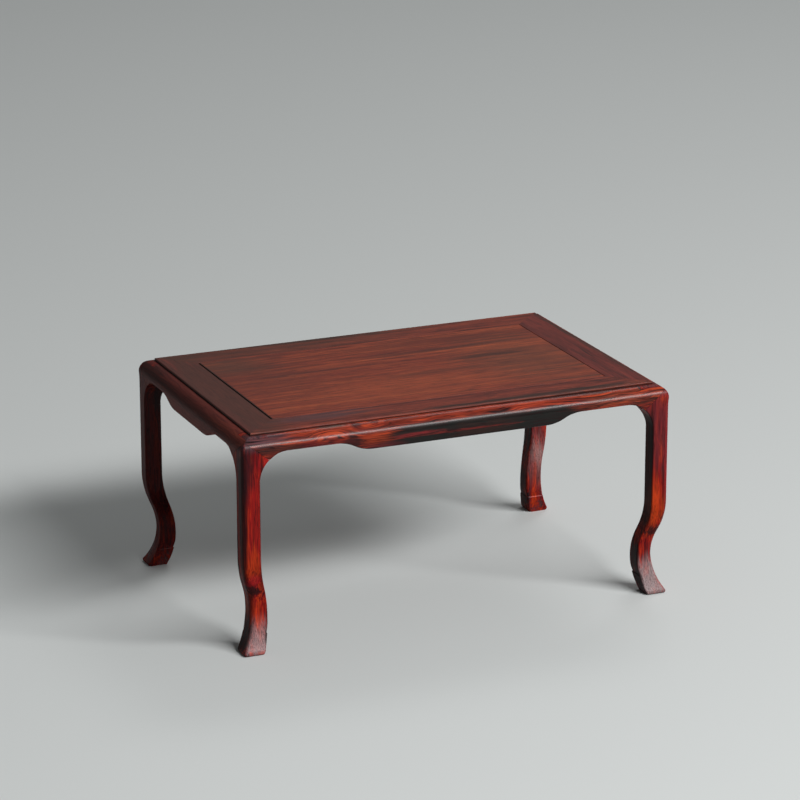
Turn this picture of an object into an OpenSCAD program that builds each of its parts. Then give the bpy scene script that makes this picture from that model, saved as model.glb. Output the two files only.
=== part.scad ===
// Bonsai stand: a framed panel top let into four aprons on four curved legs.
// Millimetres, +Z up, origin on the floor under the centre of the top.

/* [Overall] */
// Length over the legs
stand_l = 150; // [110:1:240]
// Width over the legs
stand_w = 99; // [84:1:180]
// Height from the floor to the top
stand_h = 73; // [64:1:140]

/* [Frame of the top] */
// Width of the rails
rail_w = 11.4; // [10.6:0.1:15]
// Thickness of the rails
rail_t = 4.2; // [3.8:0.1:4.6]
// Height of the frame above the rounded shoulder
frame_proud = 0.8; // [0.5:0.1:1.1]
// Bevel along the frame's outer top edge
frame_ease = 0.3; // [0.1:0.05:0.5]
// Gap between the frame and the aprons round it
frame_gap = 0.1; // [0.05:0.05:0.2]
// Thickness of the tenon in each corner of the frame
corner_tenon_t = 1.2; // [0.8:0.1:1.4]
// Wood left at the blind end of the corner tenon
corner_blind = 1.5; // [1.2:0.1:2.5]
// Wood left between the joints in a corner of the frame
corner_wall = 0.5; // [0.3:0.1:0.6]

/* [Panel] */
// Depth of the groove that holds the panel
groove_d = 2.4; // [1.6:0.1:2.8]
// Height of the groove
groove_h = 1.0; // [0.8:0.1:1.2]
// Wood over the groove
groove_top = 1.2; // [1.0:0.1:1.4]
// Room left for the panel to swell in the groove
swell_gap = 0.4; // [0.2:0.1:0.6]
// Open seam at each end of the panel
end_gap = 0.3; // [0.1:0.05:0.5]
// Seam along each long side of the panel
side_gap = 0.05; // [0.05:0.05:0.3]
// Slack of the panel's tongue and of the batten in their grooves
slide_gap = 0.05; // [0.03:0.01:0.1]
// Width of the batten under the panel
batten_w = 7; // [5:0.5:12]
// Depth of the batten's dovetail in the panel
dovetail_d = 0.6; // [0.4:0.1:0.8]
// Undercut on each side of the dovetail
dovetail_flare = 0.5; // [0.2:0.1:0.9]
// Length of the batten's lap in each long rail
batten_lap = 2.0; // [1.0:0.1:3.0]
// Height of the batten's lap
batten_lap_h = 1.4; // [1.0:0.1:1.5]

/* [Aprons] */
// Radius of the rounded shoulder that runs round the top
edge_r = 4.4; // [4.0:0.1:4.8]
// Thickness of the aprons under the frame
apron_t = 6.6; // [5.8:0.1:8]
// Height of the aprons beside the legs
apron_h = 4.8; // [4.6:0.1:7]
// Depth of the drop in the middle of the aprons
drop_h = 3.3; // [1.5:0.1:5]
// Length of the curve at each end of the drop
drop_run = 13; // [9:0.5:16]
// Straight stretch between arch and drop on the long sides
flat_long = 15.9; // [5:0.1:18]
// Straight stretch between arch and drop on the short sides
flat_short = 7.5; // [3:0.1:10]

/* [Legs] */
// Thickness of the straight part of the legs
leg_t = 6.0; // [5.4:0.1:7.2]
// Width of the head of the legs
head_w = 9.6; // [9.2:0.1:10.4]
// Radius of the arch between leg and apron
arch_r = 9.7; // [8:0.1:12]
// Thickness of the mitred shoulder of the aprons in front of the leg's head
skin_t = 2.2; // [1.8:0.1:2.6]
// Distance from the foot of the mitre, on the arch, to the inner face of the leg's head
mitre_foot = 0.4; // [0.2:0.1:0.8]
// Height at which the leg starts to curve
knee_z = 32.6; // [28:0.1:40]
// Height at which the curve turns back
bend_z = 21.8; // [19:0.1:25]
// Height of the ankle
ankle_z = 13.4; // [12:0.1:15]
// Depth of the ankle behind the leg's outer face
ankle_in = 4.0; // [2:0.1:5]
// Height of the fullest part of the leg's back
back_z = 12.2; // [10:0.1:14]
// Swell of the leg's back behind its straight part
back_out = 3.0; // [1.5:0.1:3.2]
// Bevel along the outer corner of the legs
arris = 0.9; // [0.3:0.1:1.2]
// Bevel round the sole at the toe
toe_ease = 0.3; // [0.1:0.1:0.6]

/* [Tenons] */
// Length of the tenons on the leg's head
head_tenon_l = 2.0; // [1.5:0.1:2.1]
// Thickness of the tenons on the leg's head
head_tenon_t = 1.2; // [0.8:0.1:1.3]
// Height of the tenon that enters the long rail
long_tenon_h = 2.8; // [2.0:0.1:3.0]
// Height of the tenon that enters the short rail
short_tenon_h = 2.0; // [1.2:0.1:2.6]
// Wood between the tenons and the frame's outer edge
head_tenon_in = 0.9; // [0.7:0.1:1.0]
// Length of the stub tenon on each end of the aprons
stub_l = 2.0; // [1.0:0.1:2.6]
// Thickness of the stub tenon
stub_t = 2.2; // [1.4:0.1:2.4]
// Height of the stub tenon
stub_h = 1.8; // [1.2:0.1:2.0]
// Wood over the stub tenon, up to the underside of the frame
stub_cover = 0.8; // [0.6:0.1:1.0]
// Clearance round each tenon in its mortise
fit = 0.1; // [0.05:0.05:0.15]

/* [Hidden] */
$fn = 96;
curve_fn = 240; // for the long, flat arcs
arris_steps = 20; // flats that make up the curved stretch of the bevel on a leg
over = 1; // how far a cut runs past the face that it opens

// Levels, from the floor
rail_z = stand_h - rail_t;
shoulder_z = stand_h - frame_proud;
raised_z = shoulder_z - apron_h;
drop_z = raised_z - drop_h;
arch_z = raised_z - arch_r;
groove_z = rail_z + rail_t - groove_top - groove_h;
panel_z = groove_z + slide_gap;

// Distances in from the outer faces of the stand
frame_in = edge_r + frame_gap;
arch_in = leg_t + arch_r;

// The mitre between leg and apron runs from the shoulder's top down to the arch
mitre_in = head_w - mitre_foot;
mitre_z = arch_z + sqrt(arch_r^2 - (arch_in - mitre_in)^2);
mitre_slope = (shoulder_z - mitre_z) / mitre_in;
function mitre_at(x) = shoulder_z - x * mitre_slope;

// The frame and the opening that it leaves for the panel
frame_l = stand_l - 2 * frame_in;
frame_w = stand_w - 2 * frame_in;
open_l = frame_l - 2 * rail_w;
open_w = frame_w - 2 * rail_w;
tongue_l = groove_d - swell_gap;

// Joints in a corner of the frame, measured in from its edges
tenon_step = 0.2; // shoulder between a tenon and the inner face of the leg's head
head_tenon_a = head_w - frame_in - tenon_step - head_tenon_l;
corner_a = head_w - frame_in + corner_wall;
corner_b = rail_w - groove_d - corner_wall;
corner_z = (rail_t - corner_tenon_t) / 2;

// Stub tenon of an apron, in from the outer face and up from the floor
stub_in = skin_t + head_tenon_in;
stub_z = rail_z - stub_cover - stub_h;

// Area under a reverse curve that starts level at the origin and falls by rise over run.
// Its first arc ends after the length first. Its last arc goes on past its low point.
module ogee(run, rise, first, past, depth) {
    angle = 2 * atan(rise / run);
    r_first = first / sin(angle);
    r_last = (run - first) / sin(angle);
    intersection() {
        translate([0, -depth]) square([first, depth]);
        translate([0, -r_first]) circle(r_first, $fn = curve_fn);
    }
    difference() {
        translate([first, -depth]) square([run + past - first, depth]);
        translate([run, r_last - rise]) circle(r_last, $fn = curve_fn);
    }
}

// Area behind a curved face of the leg: in from the face, and up from the floor to the knee
module behind_curve(low_z, rise, depth) {
    translate([0, knee_z]) mirror([1, 0]) rotate(-90)
        ogee(knee_z - low_z, rise, knee_z - bend_z, low_z, depth);
}

// Cross-section that the whole outer edge shares: an upright face under a round shoulder
module edge_section(depth) {
    square([depth, shoulder_z - edge_r]);
    translate([edge_r, 0]) square([depth - edge_r, shoulder_z]);
    translate([edge_r, shoulder_z - edge_r]) circle(edge_r);
}

// Extrudes an outline of distance in and height along the other horizontal direction
module through(width) {
    translate([0, width, 0]) rotate([90, 0, 0]) linear_extrude(width) children();
}

// Swaps the two outer faces of a corner
module other_face() {
    mirror([1, -1, 0]) children();
}

// Outline to which the leg is sawn from each of its two outer sides
module leg_outline() {
    difference() {
        intersection() {
            behind_curve(ankle_z, ankle_in, head_w + over);
            square([head_w, knee_z]);
        }
        translate([leg_t, 0]) behind_curve(back_z, back_out, head_w);
        polygon([[-over, -over], [toe_ease + over, -over], [-over, toe_ease + over]]);
    }
    translate([0, knee_z]) square([leg_t, arch_z - knee_z]);
    intersection() {
        edge_section(head_w);
        difference() {
            translate([0, arch_z]) square([head_w, shoulder_z - arch_z]);
            translate([arch_in, arch_z]) circle(arch_r);
        }
    }
}

// Depth of the leg's curved outer face behind its straight part, at a height below the knee
function face_in(z) =
    let (run = knee_z - ankle_z, first = knee_z - bend_z, angle = 2 * atan(ankle_in / run))
    let (r_first = first / sin(angle), r_last = (run - first) / sin(angle), down = knee_z - z)
    down < first
        ? r_first - sqrt(r_first^2 - down^2)
        : max(0, ankle_in - r_last + sqrt(r_last^2 - (down - run)^2));

// What is left behind a bevel that follows the leg's outer corner and runs out at the toe
module behind_arris() {
    reach = 2 * head_w;
    levels = [for (i = [0.5:arris_steps]) knee_z * i / arris_steps];
    rotate([90, 0, 45]) linear_extrude(2 * reach, center = true) polygon([
        for (z = levels) [sqrt(2) * face_in(z) + arris * min(1, z / ankle_z) / sqrt(2), z],
        [arris / sqrt(2), stand_h],
        [reach, stand_h],
        [reach, 0],
        [0, 0]
    ]);
}

// Seat cut in the front of the leg's head for the mitred shoulder of an apron
module mitre_seat() {
    translate([0, -over, 0]) through(skin_t + over) polygon([
        [-over, mitre_at(-over)],
        [head_w + over, mitre_at(head_w + over)],
        [head_w + over, stand_h + over],
        [-over, stand_h + over]
    ]);
}

// The stub tenon of an apron, or with room around it the mortise for it
module stub(room = 0) {
    translate([head_w - stub_l - room, stub_in - room, stub_z - room])
        cube([stub_l + room + over, stub_t + 2 * room, stub_h + 2 * room]);
}

// A tenon of the leg's head in its rail, or with room around it the mortise for it
module head_tenon(height, room = 0) {
    translate([head_tenon_a - room, head_tenon_in - room, -over])
        cube([head_tenon_l + 2 * room, head_tenon_t + 2 * room, over + height + room]);
}

// Leg with its outer corner over the origin
module leg() {
    color("#8c2f27") {
        difference() {
            intersection() {
                through(head_w) leg_outline();
                other_face() through(head_w) leg_outline();
                behind_arris();
            }
            mitre_seat();
            other_face() mitre_seat();
            translate([edge_r, edge_r, rail_z]) cube(head_w);
            stub(fit);
            other_face() stub(fit);
        }
        translate([frame_in, frame_in, rail_z]) {
            head_tenon(long_tenon_h);
            other_face() head_tenon(short_tenon_h);
        }
    }
}

// Space under one end of an apron: the mitre, the arch, the straight stretch and the curve
module end_relief(flat) {
    low_z = drop_z - over;
    polygon([[-over, low_z], [-over, mitre_at(-over)], [head_w, mitre_at(head_w)], [head_w, low_z]]);
    translate([arch_in, arch_z]) circle(arch_r);
    translate([arch_in, low_z]) square([flat, raised_z - low_z]);
    translate([arch_in + flat, raised_z]) ogee(drop_run, drop_h, drop_run / 2, 0, raised_z - low_z);
}

// Front view of an apron
module apron_outline(length, flat) {
    difference() {
        translate([0, drop_z]) square([length, shoulder_z - drop_z]);
        end_relief(flat);
        translate([length, 0]) mirror([1, 0]) end_relief(flat);
    }
}

// Cuts one end of an apron back behind its mitred shoulder, and to half of the corner
module apron_end_cut() {
    translate([-over, skin_t, 0]) cube([head_w + over, apron_t, stand_h]);
    linear_extrude(stand_h) polygon([[-over, -over], [skin_t + over, skin_t + over], [-over, skin_t + over]]);
}

// Apron along X with its outer face on the XZ plane, from one outer corner to the other
module apron(length, flat) {
    color("#6b2a26") {
        difference() {
            intersection() {
                through(apron_t) apron_outline(length, flat);
                rotate([90, 0, 90]) linear_extrude(length) difference() {
                    edge_section(apron_t);
                    translate([edge_r, rail_z]) square([apron_t, rail_t]);
                }
            }
            apron_end_cut();
            translate([length, 0, 0]) mirror([1, 0, 0]) apron_end_cut();
        }
        stub();
        translate([length, 0, 0]) mirror([1, 0, 0]) stub();
    }
}

// Cross-section of a rail: across from its outer edge, and up from its underside
module rail_section() {
    difference() {
        polygon([
            [0, 0], [rail_w, 0], [rail_w, rail_t], [frame_ease, rail_t], [0, rail_t - frame_ease]
        ]);
        translate([rail_w - groove_d, groove_z - rail_z]) square([groove_d + over, groove_h]);
    }
}

// Rail with mitred ends along X, with its outer edge on the X axis
module rail_blank(length) {
    intersection() {
        linear_extrude(rail_t)
            polygon([[0, 0], [length, 0], [length - rail_w, rail_w], [rail_w, rail_w]]);
        rotate([90, 0, 90]) linear_extrude(length) rail_section();
    }
}

// Tenon that runs from the mitre of a long rail into the short rail
module corner_tenon() {
    translate([corner_blind, corner_a, corner_z])
        cube([corner_b - corner_blind, corner_b - corner_a, corner_tenon_t]);
}

// Mortise for it in the end of a short rail
module corner_mortise() {
    translate([corner_a - fit, corner_blind - fit, corner_z - fit])
        cube([corner_b - corner_a + 2 * fit, rail_w, corner_tenon_t + 2 * fit]);
}

// Long rail, with the tenons at its ends and a lap for the batten
module long_rail() {
    color("#5a332e") difference() {
        union() {
            rail_blank(frame_l);
            corner_tenon();
            translate([frame_l, 0, 0]) mirror([1, 0, 0]) corner_tenon();
        }
        head_tenon(long_tenon_h, fit);
        translate([frame_l, 0, 0]) mirror([1, 0, 0]) head_tenon(long_tenon_h, fit);
        translate([frame_l / 2 - batten_w / 2 - fit, rail_w - batten_lap - fit, -over])
            cube([batten_w + 2 * fit, batten_lap + fit + over, over + batten_lap_h + fit]);
    }
}

// Short rail, with the mortises in its ends
module short_rail() {
    color("#52322c") difference() {
        rail_blank(frame_w);
        corner_mortise();
        translate([frame_w, 0, 0]) mirror([1, 0, 0]) corner_mortise();
        head_tenon(short_tenon_h, fit);
        translate([frame_w, 0, 0]) mirror([1, 0, 0]) head_tenon(short_tenon_h, fit);
    }
}

// Cross-section of the dovetail, or with room around it of its channel in the panel
module dovetail(room = 0) {
    neck = batten_w / 2 - dovetail_flare + room;
    crest = batten_w / 2 + room;
    polygon([
        [-neck, -over], [neck, -over], [neck, 0], [crest, dovetail_d + room],
        [-crest, dovetail_d + room], [-neck, 0]
    ]);
}

// Panel, flush with the frame, with a tongue all round
module top_panel() {
    tongue_t = groove_h - 2 * slide_gap;
    face = [open_l - 2 * end_gap, open_w - 2 * side_gap];
    tongue = [open_l + 2 * tongue_l, open_w + 2 * tongue_l];
    color("#6f4235") difference() {
        union() {
            translate([0, 0, panel_z]) linear_extrude(stand_h - panel_z) square(face, center = true);
            translate([0, 0, panel_z]) linear_extrude(tongue_t) square(tongue, center = true);
        }
        translate([0, 0, panel_z]) rotate([90, 0, 0])
            linear_extrude(tongue[1] + 2 * over, center = true) dovetail(slide_gap);
    }
}

// Batten across the underside of the panel, lapped into both long rails
module panel_batten() {
    bar_h = panel_z - rail_z;
    color("#4a2a26") translate([0, 0, rail_z]) {
        translate([-batten_w / 2, -open_w / 2 + fit, 0]) cube([batten_w, open_w - 2 * fit, bar_h]);
        translate([-batten_w / 2, -open_w / 2 - batten_lap, 0])
            cube([batten_w, open_w + 2 * batten_lap, batten_lap_h]);
        translate([0, 0, bar_h]) rotate([90, 0, 0])
            linear_extrude(open_w - 2 * fit, center = true) dovetail();
    }
}

// Moves a corner piece to the front left, and mirrors it to the other sides
module placed(right = false, back = false) {
    mirror([right ? 1 : 0, 0, 0]) mirror([0, back ? 1 : 0, 0])
        translate([-stand_l / 2, -stand_w / 2, 0]) children();
}

module frame_place() {
    translate([frame_in, frame_in, rail_z]) children();
}

top_panel();
panel_batten();
placed() frame_place() long_rail();  // front_rail
placed(back = true) frame_place() long_rail();  // back_rail
placed() frame_place() other_face() short_rail();  // left_rail
placed(right = true) frame_place() other_face() short_rail();  // right_rail
placed() apron(stand_l, flat_long);  // front_apron
placed(back = true) apron(stand_l, flat_long);  // back_apron
placed() other_face() apron(stand_w, flat_short);  // left_apron
placed(right = true) other_face() apron(stand_w, flat_short);  // right_apron
placed() leg();  // front_left_leg
placed(right = true) leg();  // front_right_leg
placed(back = true) leg();  // back_left_leg
placed(right = true, back = true) leg();  // back_right_leg
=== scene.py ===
"""Small rosewood bonsai stand: a framed panel top in four aprons with a rounded shoulder, on four S-curved legs."""

import logging
import math
from dataclasses import dataclass
from enum import Enum
from typing import Any, Sequence

import bmesh
import bpy
import numpy as np
from mathutils import Matrix


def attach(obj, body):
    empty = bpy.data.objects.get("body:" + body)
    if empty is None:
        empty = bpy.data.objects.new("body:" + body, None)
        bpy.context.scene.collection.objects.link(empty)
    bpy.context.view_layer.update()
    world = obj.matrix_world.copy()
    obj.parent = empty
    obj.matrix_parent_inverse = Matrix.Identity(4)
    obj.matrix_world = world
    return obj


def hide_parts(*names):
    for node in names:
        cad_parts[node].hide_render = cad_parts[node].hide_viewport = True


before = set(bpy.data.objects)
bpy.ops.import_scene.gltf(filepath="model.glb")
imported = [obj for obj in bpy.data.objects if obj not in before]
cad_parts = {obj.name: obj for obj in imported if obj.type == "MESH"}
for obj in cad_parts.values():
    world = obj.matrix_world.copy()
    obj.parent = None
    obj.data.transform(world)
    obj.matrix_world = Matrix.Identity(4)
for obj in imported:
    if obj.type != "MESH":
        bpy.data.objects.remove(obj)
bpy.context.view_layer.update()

MM = 0.001
LOG = logging.getLogger("bonsai_stand")

Point = tuple[float, float, float]
Span = tuple[float, float]
Colour = tuple[float, float, float, float]
Array = np.ndarray
Object = bpy.types.Object
Material = bpy.types.Material
Tree = bpy.types.NodeTree
Socket = bpy.types.NodeSocket

# The sides by name, True for one along x, and the way it faces. The corners by name, right or left, and back or front.
SIDES = (("front", True, -1), ("back", True, 1), ("left", False, -1), ("right", False, 1))
CORNERS = (("front_left", -1, -1), ("front_right", 1, -1), ("back_left", -1, 1), ("back_right", 1, 1))


# ---- Sizes in millimetres, as the CAD model has them ----


@dataclass(frozen=True)
class Sizes:
    """Sizes that more than one piece shares, in millimetres, with distances in from the stand's outer faces."""

    length: float = 150.0
    width: float = 99.0
    height: float = 73.0
    frame_in: float = 4.5  # outer edge of the frame
    rail_w: float = 11.4
    rail_z: float = 68.8  # underside of the frame
    shoulder_z: float = 72.2
    shoulder_r: float = 4.4
    skin: float = 2.2  # depth of the aprons' mitred skin
    head: float = 9.6  # width of a leg's head
    leg: float = 6.0  # thickness of a leg
    arch_r: float = 9.7
    arch_z: float = 57.7
    raised_z: float = 67.4  # lower edge of an apron beside its drop
    mitre_in: float = 9.2  # where the mitre meets the arch
    mitre_z: float = 64.9
    seam: float = 0.05  # half of what a mitre leaves open

    @property
    def round_z(self) -> float:
        """Height at which the shoulder starts to turn in."""
        return self.shoulder_z - self.shoulder_r

    @property
    def arch_in(self) -> float:
        """Distance in at which the arch between leg and apron runs level."""
        return self.leg + self.arch_r

    def shoulder_in(self, z: Array) -> Array:
        """Depth of the rounded edge: radius minus the root of radius squared less height above the round squared."""
        up = np.clip(z - self.round_z, 0.0, self.shoulder_r)
        return self.shoulder_r - np.sqrt(self.shoulder_r**2 - up**2)

    def mitre_at(self, x: Array) -> Array:
        """Height of the mitre, a straight line from the shoulder's top at the corner down to the arch."""
        return self.shoulder_z - x * (self.shoulder_z - self.mitre_z) / self.mitre_in

    def mitre_from(self, z: Array) -> Array:
        """Distance in of the mitre at a height: the same line read the other way."""
        return (self.shoulder_z - z) * self.mitre_in / (self.shoulder_z - self.mitre_z)

    def arch_in_at(self, z: Array) -> Array:
        """Distance in of the arch at a height: its centre's less the root of radius squared less rise squared."""
        rise = np.clip(z - self.arch_z, 0.0, self.arch_r)
        return self.arch_in - np.sqrt(self.arch_r**2 - rise**2)

    def arch_z_at(self, x: Array) -> Array:
        """Height of the arch at a distance in: its centre's height plus the root of radius squared less run squared."""
        run = np.clip(self.arch_in - x, 0.0, self.arch_r)
        return self.arch_z + np.sqrt(self.arch_r**2 - run**2)


SIZES = Sizes()


# ---- Surfaces ----

MERGE = 0.002 * MM  # points closer than this become one
GUARD = 1.15  # distance of an arc's guard point from the corner, as a share of the arc's reach
LEAST_LENGTH, LEAST_TAN = 1e-9, 1e-6  # keep a side or a corner of no size from dividing by zero
MOST_REACH = 0.42  # share of a side that one arc may take


def double_arc(down: Array, run: float, rise: float, first: float) -> Array:
    """Reverse curve of two arcs that starts level, falls by rise over run, and swings back past its low point.

    The arcs meet tangent where down is first, so their radii are first and the rest of the run over the sine of twice
    the arctangent of rise over run. Before zero the curve is level, and it never comes back past its start.

    Args:
        down: Distances along the curve's base line.
        run: Distance from the start to the low point.
        rise: Depth of the low point.
        first: Length of the first arc along the base line.

    Returns:
        The curve's depth at each distance.
    """
    sine = math.sin(2 * math.atan(rise / run))
    r_first, r_last = first / sine, (run - first) / sine
    one = r_first - np.sqrt(np.maximum(r_first**2 - np.clip(down, 0, first) ** 2, 0))
    two = rise - r_last + np.sqrt(np.maximum(r_last**2 - (down - run) ** 2, 0))
    return np.maximum(np.where(down < first, one, two), 0.0)


def spread(*stops: tuple[float, int]) -> Array:
    """Rising stations: from each position to the next in that one's number of equal steps, with each position once."""
    runs = [np.linspace(a, b, steps, endpoint=False) for (a, steps), (b, _) in zip(stops[:-1], stops[1:])]
    return np.concatenate([*runs, [stops[-1][0]]])


def rounded(corners: Array, radii: Array, steps: Sequence[int]) -> Array:
    """Rounds the corners of closed outlines, one outline for each station.

    Each corner becomes a circular arc, drawn as a rational curve of second degree: its ends lie on the two sides at the
    radius over the tangent of half the corner's angle, and the middle weight is the sine of half that angle. A point on
    each side just past the arc keeps the side flat in the shading.

    Args:
        corners: Stations by corners by 2.
        radii: Radius at each corner, stations by corners.
        steps: Number of steps of the arc at each corner, or 0 for a corner that stays one point.

    Returns:
        Stations by points by 2.
    """
    to_last = np.roll(corners, 1, axis=1) - corners
    to_next = np.roll(corners, -1, axis=1) - corners
    len_last = np.maximum(np.linalg.norm(to_last, axis=2), LEAST_LENGTH)
    len_next = np.maximum(np.linalg.norm(to_next, axis=2), LEAST_LENGTH)
    dir_last, dir_next = to_last / len_last[..., None], to_next / len_next[..., None]
    half = np.arccos(np.clip((dir_last * dir_next).sum(axis=2), -1, 1)) / 2
    reach = np.minimum(radii / np.maximum(np.tan(half), LEAST_TAN), MOST_REACH * np.minimum(len_last, len_next))
    parts = []
    for k, count in enumerate(steps):
        corner = corners[:, k : k + 1]
        if count == 0:
            parts.append(corner)
            continue
        a = corner + dir_last[:, k : k + 1] * reach[:, k, None, None]
        b = corner + dir_next[:, k : k + 1] * reach[:, k, None, None]
        s = np.linspace(0, 1, count + 1)[None, :, None]
        middle = 2 * s * (1 - s) * np.sin(half[:, k])[:, None, None]
        arc = ((1 - s) ** 2 * a + middle * corner + s**2 * b) / ((1 - s) ** 2 + middle + s**2)
        parts += [corner + (a - corner) * GUARD, arc, corner + (b - corner) * GUARD]
    return np.concatenate(parts, axis=1)


def loft(name: str, rings: Array, sharp: float = 34.0) -> Object:
    """A closed skin over closed rings: point j of ring i joins point j of ring i + 1, and a face closes each end.

    Args:
        name: Name of the new object.
        rings: Stations by points by 3, in millimetres.
        sharp: Angle in degrees above which an edge is shaded sharp.

    Returns:
        The new object, linked to the scene, with its place in its mesh.
    """
    stations, count, _ = rings.shape
    index = np.arange(stations * count).reshape(stations, count)
    beside = np.roll(index, -1, axis=1)
    quads = np.stack([index[:-1], beside[:-1], beside[1:], index[1:]], axis=-1).reshape(-1, 4)
    ends = [index[0, ::-1].tolist(), index[-1].tolist()]
    mesh = bpy.data.meshes.new(name)
    mesh.from_pydata((rings.reshape(-1, 3) * MM).tolist(), [], quads.tolist() + ends)
    shape = bmesh.new()
    shape.from_mesh(mesh)
    bmesh.ops.remove_doubles(shape, verts=shape.verts, dist=MERGE)
    bmesh.ops.dissolve_degenerate(shape, edges=shape.edges, dist=MERGE)
    bmesh.ops.recalc_face_normals(shape, faces=shape.faces)
    shape.to_mesh(mesh)
    shape.free()
    mesh.shade_smooth()
    mesh.set_sharp_from_angle(angle=math.radians(sharp))
    return new_object(name, mesh)


def new_object(name: str, data: bpy.types.ID) -> Object:
    """Makes an object from its data, links it to the scene and returns it."""
    made = bpy.data.objects.new(name, data)
    bpy.context.scene.collection.objects.link(made)
    return made


def axes(right: Array, up: Array, back: Array, place: Point) -> Matrix:
    """Matrix of a lamp or camera at a place, from the ways that its x, y and z axes point."""
    turn = np.stack([right, up, back], axis=1).tolist()
    return Matrix([[*row, p] for row, p in zip(turn, place)] + [[0, 0, 0, 1]])


# ---- Finishes ----

# Sizes in the wood, in millimetres along and across the fibres. Real pores are 0.1 mm wide, too fine to show.
SWING = (28.0, 9.0)
VEIN = (14.0, 0.42)
FIBRE = (9.0, 0.25)
PORE = (3.0, 0.2)
SCRAPE = (14.0, 7.0)
KNOT_REACH = 100.0
SEED_STEP = (13.0, 7.0, 3.0)  # how far apart two finishes cut the same noise

# Values of the noise between which a feature comes up, and what it does there.
FLAMES = (0.56, 0.66)
DEEPS = (0.36, 0.46)
TORN = (0.25, 0.75)
FIBRES, FIBRE_LIGHT = (0.3, 0.7), (0.74, 1.22)
PORES, PORE_DARK = (0.66, 0.74), (0.0, 0.55)
NOISE_ROUGHNESS = 0.6

# The ramp over the figure: its middle, the shift by streaks, and how far below and above it the colours lie.
RAMP_MIDDLE, RAMP_STREAKS, RAMP_DARK, RAMP_BRIGHT = 0.44, 0.06, 0.1, 0.17

# The fine layers in the figure: length and width as shares of the broad ones, and their share of the mix.
NARROW_LONG, NARROW_WIDE, NARROW_SHARE = 0.5, 0.23, 0.36

# Painted shade in the step under the frame's outer edge: its colour, how much of it shows, and where it fades out, in
# mm from the finish's height for it.
STEP_SHADE, STEP_SHADE_SHARE, STEP_SHADE_FADE = "#1a1312", 0.85, (-0.05, 0.1)

# Strength and depth in mm of the scraper's waves, of fibres and pores in the wood, and of the same in the wax.
WAVES, GROOVES, WAX_GROOVES = (0.5, 0.12), (0.25, 0.02), (0.14, 0.02)

# Bare wood scatters most light and shines little. Beeswax has an index of refraction of 1.44, with resin about 1.5.
WOOD_ROUGHNESS, WOOD_SPECULAR, WAX_IOR = 0.55, 0.06, 1.5


def linear(colour: str) -> Colour:
    """Turns an sRGB hex colour into the linear one that Blender's sockets take."""
    parts = np.array([int(colour[i : i + 2], 16) for i in (1, 3, 5)]) / 255.0
    low, high = parts / 12.92, ((parts + 0.055) / 1.055) ** 2.4
    return (*np.where(parts <= 0.04045, low, high).tolist(), 1.0)


def add(tree: Tree, kind: str, links: dict[str | int, Any] | None = None, **settings: Any) -> bpy.types.Node:
    """Adds a node with its settings, values and links.

    Args:
        tree: Node tree that takes the node.
        kind: The node's type without its ShaderNode prefix.
        links: For each input, by name or number, a value or the output that feeds it.
        settings: The node's own properties.

    Returns:
        The new node.
    """
    node = tree.nodes.new("ShaderNode" + kind)
    for key, value in settings.items():
        setattr(node, key, value)
    for key, value in (links or {}).items():
        if isinstance(value, Socket):
            tree.links.new(value, node.inputs[key])
        else:
            node.inputs[key].default_value = value
    return node


def ramp(tree: Tree, value: Socket, span: Span, ends: Span, smooth: bool = False) -> Socket:
    """Maps a value from a span on to two ends, which hold outside the span. Smooth ones start and stop gently."""
    inputs = {0: value, 1: span[0], 2: span[1], 3: ends[0], 4: ends[1]}
    return add(tree, "MapRange", inputs, interpolation_type="SMOOTHSTEP" if smooth else "LINEAR").outputs[0]


def mix(tree: Tree, share: Any, under: Any, over: Any, blend: str = "MIX") -> Socket:
    """Lays one colour over another by a share from 0 to 1, each given as a value or an output."""
    return add(tree, "Mix", {0: share, 6: under, 7: over}, data_type="RGBA", blend_type=blend).outputs[2]


def math_node(tree: Tree, operation: str, *values: Any) -> Socket:
    """Works out one operation on values or outputs."""
    return add(tree, "Math", dict(enumerate(values)), operation=operation).outputs[0]


def bump(tree: Tree, height: Socket, size: Span, **under: Socket) -> Socket:
    """Normal of a relief with this height, strength and depth in mm, with Normal= on top of another relief."""
    return add(tree, "Bump", {"Strength": size[0], "Distance": size[1] * MM, "Height": height, **under}).outputs[0]


def spot(tree: Tree) -> Socket:
    """The object's own coordinates in metres: pieces built here sit at the origin, so for them they are the scene's."""
    return add(tree, "TexCoord").outputs["Object"]


def away(tree: Tree, centre: Point, half: Point, all_corners: bool = False) -> Socket:
    """Distance from a place, as a share of its half extent: the length of the offset over that extent on each axis.

    Args:
        tree: Node tree.
        centre: Middle in millimetres.
        half: Half extent along each axis, in millimetres.
        all_corners: True for the nearest of the four places that mirror each other across the stand.

    Returns:
        The distance, which is 1 on the ellipsoid's skin.
    """
    here = spot(tree)
    if all_corners:
        here = add(tree, "VectorMath", {0: here}, operation="ABSOLUTE").outputs[0]
    scale = tuple(1 / (h * MM) for h in half)
    shift = tuple(-c / h for c, h in zip(centre, half))
    local = add(tree, "Mapping", {"Vector": here, "Location": shift, "Scale": scale}).outputs[0]
    return add(tree, "VectorMath", {0: local}, operation="LENGTH").outputs["Value"]


def new_material(name: str) -> tuple[Material, Tree]:
    """Makes a material with an empty node tree, and returns both."""
    made = bpy.data.materials.new(name)
    made.use_nodes = True
    made.node_tree.nodes.clear()
    return made, made.node_tree


class Grain(Enum):
    """Axis along which the fibres of a piece run, with the order that puts it first."""

    LENGTHWISE = ("X", "Y", "Z")
    CROSSWISE = ("Y", "X", "Z")
    UPRIGHT = ("Z", "X", "Y")


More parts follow.
